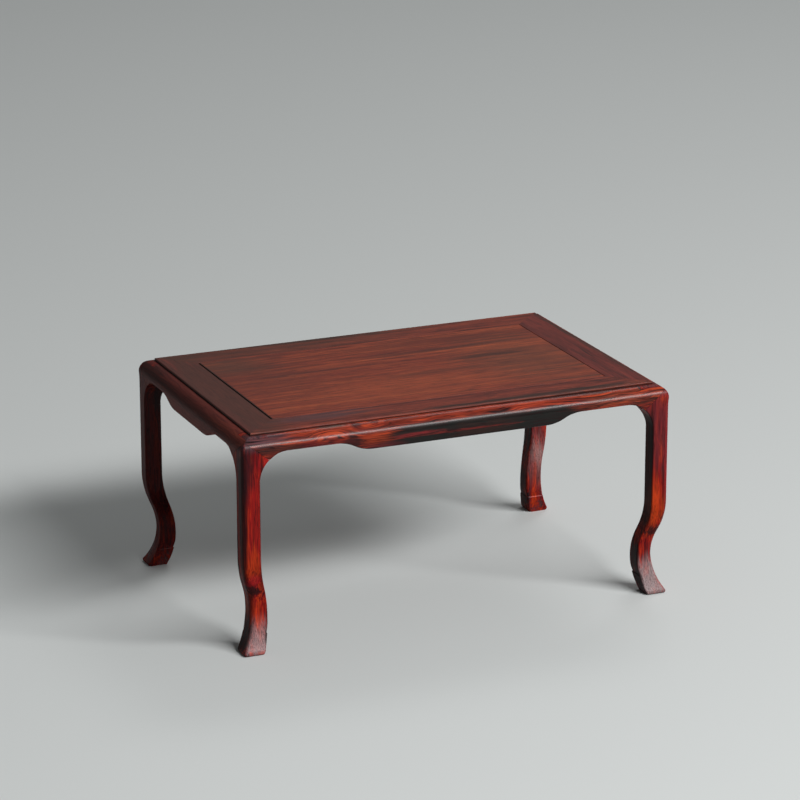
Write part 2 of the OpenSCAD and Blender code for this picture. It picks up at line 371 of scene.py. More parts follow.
@dataclass(frozen=True)
class Patch:
    """A place where the figure turns darker or brighter: an ellipsoid whose edge the figure tears up."""

    centre: Point  # in mm
    half: Point  # half of its extent along each axis, in mm
    colour: str  # sRGB hex
    share: float  # how much of the colour shows, from 0 to 1
    ragged: float  # how far the figure pushes the edge in or out, as a share of the half extent
    edge: float  # width of the soft edge, as a share of the half extent
    all_corners: bool = False  # True for one that is the same at all four corners of the stand


@dataclass(frozen=True)
class Knot:
    """A knot in a lengthwise piece, round which the fibres run aslant."""

    centre: Point  # in mm
    half: Point  # half of its extent along each axis, in mm
    slope: float  # mm across for each one along, at the middle


@dataclass(frozen=True)
class Rosewood:
    """Rosewood, planed and scraped by hand, then waxed and rubbed to a satin gloss.

    The eye sees a red-brown ground with growth layers drawn along the fibres, near-black streaks of heartwood, orange
    flames between them, fine open pores as short dark dashes, and a soft gloss that follows every edge.
    """

    name: str
    grain: Grain
    dark: str
    ground: str
    bright: str
    seed: float = 0.0
    layer: float = 2.6  # mm across one growth layer; real layers are 2 to 4 mm on a small piece
    drawn: float = 26.0  # how many times longer than wide the figure is
    wave: float = 2.2  # mm by which the layers swing from side to side
    streaks: float = 0.5  # share of near-black heartwood streaks
    gloss: float = 0.28  # roughness of the rubbed wax
    film: float = 0.3  # share of the surface that the wax film closes; the rest is open pores
    contrast: float = 1.0  # how far the figure swings between its colours
    veins: float = 0.4  # strength of the fine dark and bright lines in the figure
    step_shade_z: float = 0.0  # height in mm below which the step under the frame's edge gets painted shade, or 0 for none
    knot: Knot | None = None
    patches: tuple[Patch, ...] = ()

    def material(self) -> Material:
        """Builds the material's nodes and returns it."""
        made, tree = new_material(self.name)
        place = self._place(tree)
        wavy = self._wavy(tree, place)
        figure, colour = self._figure(tree, wavy)
        fibre = self._noise(tree, place, FIBRE, 1.0)
        pore = ramp(tree, self._noise(tree, place, PORE, 0.0), PORES, PORE_DARK)
        vein = self._noise(tree, wavy, VEIN)
        colour = mix(tree, ramp(tree, vein, FLAMES, (0.0, self.veins)), colour, linear(self.bright))
        colour = self._patched(tree, colour, figure)
        colour = mix(tree, ramp(tree, vein, DEEPS, (self.veins, 0.0)), colour, linear(self.dark))
        # Painted shade in the step under the frame's edge: darker below the finish's height for it.
        if self.step_shade_z:
            height = add(tree, "SeparateXYZ", {0: spot(tree)}).outputs["Z"]
            low, high = ((self.step_shade_z + step) * MM for step in STEP_SHADE_FADE)
            colour = mix(tree, ramp(tree, height, (low, high), (STEP_SHADE_SHARE, 0.0)), colour, linear(STEP_SHADE))
        colour = mix(tree, 1.0, colour, ramp(tree, fibre, FIBRES, FIBRE_LIGHT), "MULTIPLY")
        colour = mix(tree, pore, colour, linear(self.dark))
        wood, wax = self._relief(tree, place, fibre, pore)
        inputs = {
            "Base Color": colour,
            "Roughness": WOOD_ROUGHNESS,
            "Specular IOR Level": WOOD_SPECULAR,
            "Normal": wood,
            "Coat Weight": self.film,
            "Coat Roughness": self.gloss,
            "Coat IOR": WAX_IOR,
            "Coat Normal": wax,
        }
        add(tree, "OutputMaterial", {"Surface": add(tree, "BsdfPrincipled", inputs).outputs[0]})
        return made

    def _place(self, tree: Tree) -> Socket:
        """Object coordinates in millimetres, with the fibres along the first axis and this finish's own offset."""
        parts = add(tree, "SeparateXYZ", {0: spot(tree)}).outputs
        turned = add(tree, "CombineXYZ", {i: parts[axis] for i, axis in enumerate(self.grain.value)}).outputs[0]
        shift = tuple(self.seed * step for step in SEED_STEP)
        return add(tree, "Mapping", {"Vector": turned, "Location": shift, "Scale": (1 / MM,) * 3}).outputs[0]

    def _noise(self, tree: Tree, place: Socket, size: Span, detail: float = 2.0) -> Socket:
        """Noise that is drawn out along the fibres.

        Args:
            tree: Node tree.
            place: Coordinates in millimetres.
            size: Millimetres along and across the fibres for one swing of the noise.
            detail: Octaves of finer noise.

        Returns:
            The noise, from 0 to 1.
        """
        scale = (1 / size[0], 1 / size[1], 1 / size[1])
        drawn = add(tree, "Mapping", {"Vector": place, "Scale": scale}).outputs[0]
        inputs = {"Vector": drawn, "Scale": 1.0, "Detail": detail, "Roughness": NOISE_ROUGHNESS}
        return add(tree, "TexNoise", inputs).outputs[0]

    def _wavy(self, tree: Tree, place: Socket) -> Socket:
        """Coordinates that swing across the fibres, and run aslant round the knot."""
        push = ramp(tree, self._noise(tree, place, SWING), (0.0, 1.0), (-self.wave, self.wave))
        if self.knot:
            middle = self.knot.centre[0]
            far = away(tree, self.knot.centre, self.knot.half)
            slope = ramp(tree, far, (0.0, 1.0), (self.knot.slope, 0.0), smooth=True)
            span = ((middle - KNOT_REACH) * MM, (middle + KNOT_REACH) * MM)
            along = add(tree, "SeparateXYZ", {0: spot(tree)}).outputs["X"]
            along = ramp(tree, along, span, (-KNOT_REACH, KNOT_REACH))
            push = math_node(tree, "MULTIPLY_ADD", slope, along, push)
        push = add(tree, "CombineXYZ", {1: push, 2: push}).outputs[0]
        return add(tree, "VectorMath", {0: place, 1: push}, operation="ADD").outputs[0]

    def _figure(self, tree: Tree, wavy: Socket) -> tuple[Socket, Socket]:
        """Growth layers and heartwood streaks: wavy noise through a ramp from near black over the ground to orange."""
        long = self.layer * self.drawn
        broad = self._noise(tree, wavy, (long, self.layer), 3.0)
        narrow = self._noise(tree, wavy, (long * NARROW_LONG, self.layer * NARROW_WIDE))
        figure = add(tree, "Mix", {0: NARROW_SHARE, 2: broad, 3: narrow}).outputs[0]
        colours = add(tree, "ValToRGB", {0: figure})
        stops = colours.color_ramp.elements
        middle = RAMP_MIDDLE + RAMP_STREAKS * self.streaks
        stops[0].position, stops[0].color = middle - RAMP_DARK / self.contrast, linear(self.dark)
        stops[1].position, stops[1].color = middle + RAMP_BRIGHT / self.contrast, linear(self.bright)
        stops.new(middle).color = linear(self.ground)
        return figure, colours.outputs[0]

    def _patched(self, tree: Tree, colour: Socket, figure: Socket) -> Socket:
        """Lays the placed patches over the figure: each is a ramp over the ragged distance from its middle."""
        for patch in self.patches:
            far = away(tree, patch.centre, patch.half, patch.all_corners)
            torn = ramp(tree, figure, TORN, (-patch.ragged / 2, patch.ragged / 2))
            far = math_node(tree, "ADD", far, torn)
            mask = ramp(tree, far, (1 - patch.edge, 1 + patch.edge), (patch.share, 0.0), smooth=True)
            colour = mix(tree, mask, colour, linear(patch.colour))
        return colour

    def _relief(self, tree: Tree, place: Socket, fibre: Socket, pore: Socket) -> tuple[Socket, Socket]:
        """Slight waves that the scraper left, with fibre ridges and pores in the wood, fainter in the wax."""
        waves = bump(tree, self._noise(tree, place, SCRAPE, 0.0), WAVES)
        pits = math_node(tree, "SUBTRACT", fibre, pore)
        return bump(tree, pits, GROOVES, Normal=waves), bump(tree, pits, WAX_GROOVES, Normal=waves)


@dataclass(frozen=True)
class Backdrop:
    """Matt painted board for the floor under the stand: even and pale, with no figure of its own."""

    name: str = "matt_painted_board"
    colour: str = "#d2d5d4"
    bounce: str = "#484c50"  # what it throws back on to the stand: less than it shows, so the undersides stay dark

    def material(self) -> Material:
        """Builds the material's nodes and returns it."""
        made, tree = new_material(self.name)
        path = add(tree, "LightPath").outputs
        seen = math_node(tree, "ADD", path["Is Camera Ray"], path["Is Glossy Ray"])
        seen = add(tree, "Math", {0: seen, 1: path["Is Transmission Ray"]}, operation="ADD", use_clamp=True).outputs[0]
        shader = add(tree, "BsdfDiffuse", {"Color": mix(tree, seen, linear(self.bounce), linear(self.colour))})
        add(tree, "OutputMaterial", {"Surface": shader.outputs[0]})
        return made


# ---- The woods of the stand, from the same tree ----

# One calm board, planed, scraped and waxed: straight figure, the softest gloss, and dirt in the seams at the ends.
PANEL_WOOD = Rosewood(
    "waxed_rosewood_panel", Grain.LENGTHWISE, dark="#45211a", ground="#762b1d", bright="#9e4a2a",
    seed=1.0, layer=2.2, drawn=34.0, wave=1.6, streaks=0.2, contrast=0.75, gloss=0.38, veins=0.6,
    patches=(
        Patch((-8, -18, 73), (30, 11, 3), "#9a4628", 0.45, 2.0, 0.8),
        Patch((-48, 14, 73), (20, 26, 3), "#5c2a20", 0.5, 1.6, 0.8),
        Patch((-52, 26, 73), (12, 9, 3), "#46352a", 0.5, 1.6, 0.8),
        Patch((26, 27, 73), (34, 6, 3), "#4a1c16", 0.5, 2.2, 0.6),
        Patch((-58.7, 0, 72.8), (0.5, 50, 3), "#140a08", 0.95, 0.0, 0.4),
        Patch((59, 0, 72.8), (0.22, 50, 3), "#1c0c0a", 0.7, 0.0, 0.4),
        Patch((44, -4, 73), (18, 22, 3), "#5a3c2a", 0.45, 2.0, 0.8),
        Patch((34, 4.5, 73), (11, 1.7, 3), "#3e2019", 0.75, 2.2, 0.6),
        Patch((14, 16.5, 73), (20, 2, 3), "#45201a", 0.6, 2.2, 0.6),
        Patch((8, -6, 73), (16, 1.6, 3), "#4c261c", 0.5, 2.4, 0.6),
    ),
)

# Planed and waxed, darkened by handling along the edges, with painted shade in the step below its outer edge.
LONG_RAIL_WOOD = Rosewood(
    "waxed_rosewood_long_rail", Grain.LENGTHWISE, dark="#38130f", ground="#6c291e", bright="#904029",
    seed=2.0, layer=2.0, streaks=0.5, contrast=0.9, gloss=0.36, step_shade_z=72.45,
    patches=(
        Patch((32, -43.6, 73), (42, 1.6, 2), "#241c16", 0.8, 1.4, 0.5),
        Patch((-44, -37, 73), (17, 3.4, 2), "#44343a", 0.7, 1.2, 0.5),
        Patch((-64, 0, 73), (9, 60, 3), "#4a2a21", 0.8, 0.6, 0.5),
        Patch((-34, 40, 73), (46, 6.5, 2), "#442b21", 0.6, 1.4, 0.6),
        Patch((-14, 44.4, 73), (56, 1.7, 2), "#32231b", 0.65, 1.6, 0.5),
    ),
)

# The same work on calmer stock: finer figure, the same darkened edges, and the same painted shade in the step.
SHORT_RAIL_WOOD = Rosewood(
    "waxed_rosewood_short_rail", Grain.CROSSWISE, dark="#32120f", ground="#5e211b", bright="#82342a",
    seed=3.0, layer=2.0, streaks=0.4, contrast=0.7, gloss=0.36, step_shade_z=72.52, veins=0.3,
    patches=(
        Patch((-64, 0, 73), (9, 60, 3), "#4a2a21", 0.85, 0.6, 0.5),
        Patch((-58.9, 0, 72.8), (0.34, 50, 3), "#140a08", 0.9, 0.0, 0.4),
        Patch((70.6, 4, 73), (1.5, 46, 2), "#34221a", 0.75, 1.6, 0.5),
    ),
)

# Scraped to its round and rubbed most: black heartwood, a knot, orange flames, the sharpest gloss, a painted reflection
# at the near-left corner, and painted shade in the step under the frame.
LONG_APRON_WOOD = Rosewood(
    "waxed_rosewood_long_apron", Grain.LENGTHWISE, dark="#200b0c", ground="#6e201a", bright="#b44424",
    seed=4.0, layer=1.5, streaks=0.9, contrast=1.35, gloss=0.23, film=0.26, veins=0.95,
    knot=Knot((-38, -47, 70.8), (16, 6, 4), 0.34),
    patches=(
        Patch((7.5, -50.5, 64.4), (35, 3, 8), "#171816", 0.96, 0.4, 0.18),
        Patch((-13.5, -50.5, 66.8), (14, 2.6, 4.6), "#171816", 0.96, 0.4, 0.18),
        Patch((30.5, -50.5, 66), (13.5, 2.8, 4.8), "#171816", 0.96, 0.4, 0.18),
        Patch((-2, -50, 66.6), (18, 3, 0.4), "#7a2420", 0.7, 2.4, 0.6),
        Patch((-14, -50, 67.4), (8, 3, 0.5), "#8a2a2c", 0.75, 1.6, 0.5),
        Patch((-29.5, -49, 68), (4.4, 3, 2.4), "#983a1e", 0.6, 2.2, 0.6),
        Patch((-26.5, -50, 64.1), (8, 3, 1.7), "#4e1c20", 0.85, 0.6, 0.35),
        Patch((-37.5, -49.5, 67.4), (2.6, 3, 2.8), "#2a1414", 0.85, 1.2, 0.4),
        Patch((-56, -49.8, 67.2), (15, 1.8, 3.2), "#5a1618", 0.7, 1.2, 0.4),
        Patch((-63, -49.8, 68.6), (7, 1.8, 2.2), "#3a2218", 0.6, 1.6, 0.5),
        Patch((-45, -46.6, 71.6), (10, 2, 1.5), "#b0442a", 0.55, 3.6, 0.5),
        Patch((12, -46.6, 71.6), (36, 1.9, 1.3), "#a03a20", 0.45, 3.6, 0.5),
        Patch((-43.5, -45.8, 72.2), (4.6, 0.9, 0.6), "#50504a", 0.8, 0.9, 0.5),
        Patch((55, -48.5, 70), (10, 2.4, 3.2), "#803a26", 0.6, 2.4, 0.5),
        # A grey tone at the near-left corner of the shoulder: a painted reflection.
        Patch((-68, -47.5, 71.2), (10, 2.8, 1.9), "#4a383e", 0.8, 0.9, 0.5),
        Patch((-35.5, -46.6, 71.7), (1.9, 1.4, 1.2), "#32161a", 0.8, 1.8, 0.6),
        # Painted shade in the step between the frame's edge and the shoulder.
        Patch((46, -44.9, 72.6), (32, 1.9, 0.9), "#25100d", 0.85, 0.6, 0.4),
        Patch((65, -46.4, 72.2), (0.5, 1.6, 0.8), "#1a0c0e", 0.85, 0.4, 0.4),
    ),
)

# Even red stock, scraped round at the shoulder and thinly waxed: little figure, and a dull sheen.
SHORT_APRON_WOOD = Rosewood(
    "waxed_rosewood_short_apron", Grain.CROSSWISE, dark="#381614", ground="#863228", bright="#9a4634",
    seed=5.0, streaks=0.6, contrast=0.85, gloss=0.3, film=0.14, veins=0.35,
    patches=(
        Patch((-75, 0, 65), (2, 46, 3.6), "#a23e30", 0.6, 1.2, 0.5),
        Patch((-71.5, 46, 71), (6, 17, 5), "#40201e", 0.7, 1.0, 0.6),
        Patch((-72, 0, 70.9), (5, 54, 3.4), "#3e1c1a", 0.7, 0.8, 0.5),
    ),
)

# Sawn, scraped round and thinly waxed: red and orange, dark bands at the bends that are partly dark wood and partly
# painted shade, painted shade inside the arch, in the step and on faces turned from the light, a painted reflection on
# the far-right leg, and pale toes, partly worn and partly a painted sheen.
LEG_WOOD = Rosewood(
    "waxed_rosewood_leg", Grain.UPRIGHT, dark="#26080d", ground="#860f16", bright="#d0421c",
    seed=6.0, layer=1.9, streaks=0.8, contrast=1.15, gloss=0.26, film=0.12, veins=0.45,
    patches=(
        Patch((-71, -48.5, 48), (3.2, 3, 14), "#a4201a", 0.6, 2.0, 0.6),
        Patch((-72, -48.5, 30), (2.4, 3, 4.6), "#c84218", 0.6, 2.2, 0.5),
        Patch((-71.6, -49, 24.6), (2.2, 3, 2.4), "#b01e2a", 0.6, 1.2, 0.5),
        # Dark at the bend where the face turns down: partly dark wood, partly painted shade.
        Patch((-72.5, -49, 20.8), (5, 4, 1.8), "#240e10", 0.85, 2.2, 0.4),
        Patch((-71.3, -48.5, 13.5), (1.8, 3, 4.5), "#cc4a2c", 0.65, 1.6, 0.6),
        # Painted shade along the near-left leg's outer corner, which turns away from the light.
        Patch((-75, -49, 46), (1.7, 3.4, 24), "#1c0d11", 0.85, 0.8, 0.5),
        Patch((-74.2, -49.5, 63), (3, 3.4, 9), "#2a1418", 0.75, 0.8, 0.5),
        Patch((-66.4, -49.4, 64), (2.6, 2, 4.6), "#a41a24", 0.65, 1.0, 0.5),
        # Painted shade in the step at each corner, over the top of the leg's core.
        Patch((70, 45, 72.6), (6, 6, 1.4), "#3a1a18", 0.75, 0.8, 0.5, all_corners=True),
        # A grey tone at the near-left corner of the shoulder: a painted reflection.
        Patch((-70, -47.5, 70.6), (6.5, 4, 2.4), "#4a383e", 0.75, 0.8, 0.5),
        Patch((-72, 46, 38), (8, 9, 46), "#562624", 0.7, 0.8, 0.4),
        # Painted shade inside the arch at the top of the far-left leg.
        Patch((-69, 42, 61), (3.6, 4.6, 8), "#140a0a", 0.85, 0.6, 0.4),
        Patch((70.6, -49, 59), (5.2, 4.2, 15), "#6a282c", 0.76, 0.8, 0.4),
        Patch((74.6, -49.5, 46), (1, 3, 22), "#9a242a", 0.6, 0.8, 0.5),
        Patch((69.8, -49, 31), (2.4, 3, 8.5), "#cc4418", 0.75, 1.8, 0.6),
        # Dark at the bend where the face turns down: partly dark wood, partly painted shade.
        Patch((71.5, -48, 21.8), (5, 5, 1.9), "#240e10", 0.85, 2.2, 0.4),
        Patch((72, -48, 12.5), (4, 4, 6), "#8e2a28", 0.6, 1.2, 0.6),
        # A painted reflection on the far-right leg's inner face, palest in the middle.
        Patch((71, 40, 22), (6, 5, 11), "#80504e", 0.65, 1.0, 0.5),
        Patch((70.6, 40, 23), (2.2, 3, 4.6), "#a88682", 0.6, 1.2, 0.6),
        # Pale toes: partly worn, partly a painted sheen of the light from above.
        Patch((69.5, 48, 4.4), (4.6, 4.5, 6.2), "#a08484", 0.8, 1.2, 0.7, all_corners=True),
        Patch((69.5, -48, 4), (4.8, 4.5, 6.4), "#968686", 0.8, 1.2, 0.7),
        # Painted shade on the legs' inner side faces and on the near-left foot's outer face, which turn away from the
        # light.
        Patch((68.4, 46, 46), (0.95, 8, 26), "#180a0c", 0.85, 0.3, 0.3, all_corners=True),
        Patch((64.9, 46, 13), (1.3, 8, 10), "#180a0c", 0.85, 0.3, 0.3, all_corners=True),
        Patch((65.9, 46, 3.5), (1.5, 8, 5), "#180a0c", 0.85, 0.3, 0.3, all_corners=True),
        Patch((-74, -42.6, 6), (4.5, 4.8, 9), "#1c0e10", 0.85, 0.3, 0.3),
    ),
)

# Planed and never rubbed, since it is out of sight: brown and dull.
BATTEN_WOOD = Rosewood(
    "planed_rosewood_batten", Grain.CROSSWISE, dark="#2c1512", ground="#5a2a20", bright="#7c4430",
    seed=7.0, streaks=0.4, gloss=0.6,
)


# ---- The stand's pieces ----


def dress(piece: Object, material: Material, node: str) -> None:
    """Gives a new piece its finish, and lets it stand for a node of the frame.

    Args:
        piece: The new piece.
        material: Its finish.
        node: CAD node that it replaces.
    """
    piece.data.materials.append(material)
    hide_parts(node)
    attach(piece, "root")
    LOG.info("%s: %d faces", piece.name, len(piece.data.polygons))


@dataclass
class Top:
    """Mitred frame with a flush panel in its groove, and the batten below."""

    ease: float = 0.42  # radius of the frame's outer edge at the front and left
    far_ease: float = 0.2  # and at the back and right
    inner_ease: float = 0.12
    arris: float = 0.1  # radius of an edge that is only broken
    groove_d: float = 2.4
    groove_z: float = 70.8
    groove_top: float = 71.8
    tongue: float = 2.0
    end_gap: float = 0.3
    rest_x: float = 0.12  # how far to the right the panel rests
    side_gap: float = 0.05
    slide: float = 0.05
    mitre_gap: float = 0.012
    lap_half: float = 3.6  # half width of the notch for the batten
    lap_in: float = 2.1
    lap_top: float = 70.3
    long_wood: Rosewood = LONG_RAIL_WOOD
    short_wood: Rosewood = SHORT_RAIL_WOOD
    panel_wood: Rosewood = PANEL_WOOD
    batten_wood: Rosewood = BATTEN_WOOD

    def build(self) -> None:
        """Builds and dresses the rails, the panel and the batten."""
        long_wood, short_wood = self.long_wood.material(), self.short_wood.material()
        for side, along_x, way in SIDES:
            rail = self.rail(f"{side}_rail_wood", along_x, way)
            dress(rail, long_wood if along_x else short_wood, f"{side}_rail")
        dress(self.panel(), self.panel_wood.material(), "top_panel")
        wood = self.batten_wood.material()
        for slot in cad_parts["panel_batten"].material_slots:
            slot.material = wood
        LOG.info("panel_batten: the frame's own solid, dressed")

    def rail(self, name: str, along_x: bool, way: int) -> Object:
        """A rail: its section with the groove, carried straight between two mitres at 45 degrees.

        A long rail has a notch under its middle for the batten's lap: there two stations stand at the same place, and
        the section's lower inner corner steps from the one to the other.

        Args:
            name: Name of the piece.
            along_x: True for a long rail.
            way: The way it faces, -1 or 1.

        Returns:
            The new piece.
        """
        outer, inner, top, low = SIZES.frame_in, SIZES.frame_in + SIZES.rail_w, SIZES.height, SIZES.rail_z
        deep, notch = inner - self.groove_d, inner - self.lap_in
        profile = (  # distance in, height, radius, steps of the arc
            (outer, low, self.arris, 2),
            (outer, top, self.ease if way < 0 else self.far_ease, 6),
            (inner, top, self.inner_ease, 4),
            (inner, self.groove_top, self.arris, 2),
            (deep, self.groove_top, 0, 0),
            (deep, self.groove_z, 0, 0),
            (inner, self.groove_z, self.arris, 2),
            (inner, self.lap_top, 0, 0),
            (inner, low, self.arris, 2),
            (notch, low, 0, 0),
        )
        inwards, heights, radius, steps = zip(*profile)
        corners = np.tile(np.stack([inwards, heights], axis=1), (6, 1, 1))
        radii = np.tile(radius, (6, 1))
        if along_x:
            corners[2:4, -2] = notch, self.lap_top
            radii[2:4, -2] = 0
        section = rounded(corners, radii, steps)
        half, across = SIZES.length / 2, SIZES.width / 2
        if not along_x:
            half, across = across, half
        run = np.broadcast_to(self.lap_half * np.array([0, -1, -1, 1, 1, 0])[:, None], section.shape[:2]).copy()
        run[5] = half - section[5, :, 0] - self.mitre_gap
        run[0] = -run[5]
        out, up = way * (across - section[..., 0]), section[..., 1]
        return loft(name, np.stack([run, out, up] if along_x else [out, run, up], axis=-1))

    def panel(self) -> Object:
        """The panel: one rebated section across the stand, which drops to its tongue past each end of the face.

        It floats in the groove and rests a little to the right, so that the left seam is the wider one.
        """
        half_l, half_w = (np.array([SIZES.length, SIZES.width]) / 2 - SIZES.frame_in - SIZES.rail_w).tolist()
        face_l, face_w = half_l - self.end_gap, half_w - self.side_gap
        tongue_l, tongue_w = half_l + self.tongue, half_w + self.tongue
        low, lip = self.groove_z + self.slide, self.groove_top - self.slide
        right = np.array([face_l - self.arris, face_l, face_l, tongue_l])
        x = self.rest_x + np.concatenate([-right[::-1], right])
        brim, face = SIZES.height - self.arris, SIZES.height
        top = np.array([lip, lip, brim, face, face, brim, lip, lip])
        front = ((-tongue_w, low), (-tongue_w, lip), (-face_w, lip), (-face_w, top))
        outline = front + tuple((-y, z) for y, z in front[::-1])
        corners = np.stack([np.stack(np.broadcast_arrays(y, z, x)[:2], axis=1) for y, z in outline], axis=1)
        radii = np.zeros(corners.shape[:2])
        radii[2:6, 3:5] = self.arris
        section = rounded(corners, radii, (0, 0, 0, 3, 3, 0, 0, 0))
        along = np.broadcast_to(x[:, None], section.shape[:2])
        return loft("top_panel_wood", np.stack([along, section[..., 0], section[..., 1]], axis=-1))


@dataclass
class Aprons:
    """Four aprons: an upright face under a quarter-round shoulder, with arches at the ends and a drop between."""

    thick: float = 6.6
    drop: float = 3.3
    drop_run: float = 13.0
    flat_long: float = 15.9  # level stretch between arch and drop
    flat_short: float = 7.5
    core_in: float = 1.52  # start of the skin, beside the leg's core
    ease: float = 0.55
    inner_ease: float = 0.4
    arris: float = 0.1
    least: float = 0.04  # radius of the lower edges at the mitre
    grow: float = 4.0  # run over which they get their full radius
    hair: float = 0.01  # how much thinner than its seat the skin is
    skin_at: Span = (0.66, 0.33)  # heights of two points behind the skin, as shares of its rise
    wood_long: Rosewood = LONG_APRON_WOOD
    wood_short: Rosewood = SHORT_APRON_WOOD

    def build(self) -> None:
        """Builds and dresses the four aprons."""
        long_wood, short_wood = self.wood_long.material(), self.wood_short.material()
        for side, along_x, way in SIDES:
            apron = self.apron(f"{side}_apron_wood", along_x, way)
            dress(apron, long_wood if along_x else short_wood, f"{side}_apron")

    def underside(self, x: Array, flat: float) -> Array:
        """Height of the lower edge: mitre, then arch, then level, then two arcs down to the drop."""
        run = np.minimum(x - (SIZES.arch_in + flat), self.drop_run)
        low = SIZES.raised_z - double_arc(run, self.drop_run, self.drop, self.drop_run / 2)
        low = np.where(x < SIZES.arch_in, SIZES.arch_z_at(x), low)
        return np.where(x < SIZES.mitre_in, SIZES.mitre_at(x) + SIZES.seam, low)

    def apron(self, name: str, along_x: bool, way: int) -> Object:
        """An apron: at each station a ring of lower edge, upright face, quarter round, ledge and back.

        The quarter round is drawn by its angle, first up to the depth of the mitred skin and then on to the top. In
        front of the leg's head the ring shrinks to that skin, which the other apron's skin meets on the diagonal.

        Args:
            name: Name of the piece.
            along_x: True for a long apron.
            way: The way it faces, -1 or 1.

        Returns:
            The new piece.
        """
        length, width, flat = SIZES.length, SIZES.width, self.flat_long
        if not along_x:
            length, width, flat = width, length, self.flat_short
        r, skin, ogee = SIZES.shoulder_r, SIZES.skin - self.hair, SIZES.arch_in + flat
        skin_part = spread((self.core_in, 4), (SIZES.skin, 14), (SIZES.head - SIZES.seam, 1))
        full_part = spread((SIZES.head, 16), (SIZES.arch_in, 3), (ogee, 26), (ogee + self.drop_run, 3), (length / 2, 1))
        x = np.concatenate([skin_part, full_part])
        full = np.arange(x.size) >= skin_part.size
        low = self.underside(x, flat)
        tip = np.where(full, r, np.minimum(x - SIZES.seam, skin))
        stop = np.arccos(1 - np.clip(tip / r, 0, 1))
        skin_stop = np.minimum(stop, math.acos(1 - skin / r))
        start = np.minimum(np.arcsin(np.clip((low - SIZES.round_z) / r, 0, 1)), skin_stop)
        below = start[:, None] + (skin_stop - start)[:, None] * np.linspace(0, 1, 13)
        above = skin_stop[:, None] + (stop - skin_stop)[:, None] * np.linspace(0.2, 1, 5)
        angle = np.concatenate([below, above], axis=1)
        arc = np.stack([r * (1 - np.cos(angle)), SIZES.round_z + r * np.sin(angle)], axis=-1)
        outer_low = np.where(low > SIZES.round_z, arc[:, 0, 0], 0.0)
        back, rise = np.where(full, self.thick, tip), arc[:, -1, 1] - low
        ledge_z = np.where(full, SIZES.rail_z, low + self.skin_at[0] * rise)
        back_z = np.where(full, SIZES.rail_z, low + self.skin_at[1] * rise)
        pairs = ((outer_low, low), (tip, ledge_z), (back, back_z), (back, low))
        first, *rest = (np.stack(pair, axis=-1)[:, None] for pair in pairs)
        corners = np.concatenate([first, arc, *rest], axis=1)
        grown = np.clip((x - SIZES.mitre_in) / self.grow, 0, 1)
        radii = np.zeros(corners.shape[:2])
        radii[:, 0] = self.least + (self.ease - self.least) * grown
        radii[:, -1] = self.least + (self.inner_ease - self.least) * grown
        radii[:, -2] = self.arris * full
        section = rounded(corners, radii, (5, *[0] * arc.shape[1], 0, 2, 4))
        section = np.concatenate([section, section[::-1]])
        x = np.concatenate([x, length - x[::-1]])
        run = np.broadcast_to((x - length / 2)[:, None], section.shape[:2])
        out, up = way * (width / 2 - section[..., 0]), section[..., 1]
        return loft(name, np.stack([run, out, up] if along_x else [out, run, up], axis=-1))


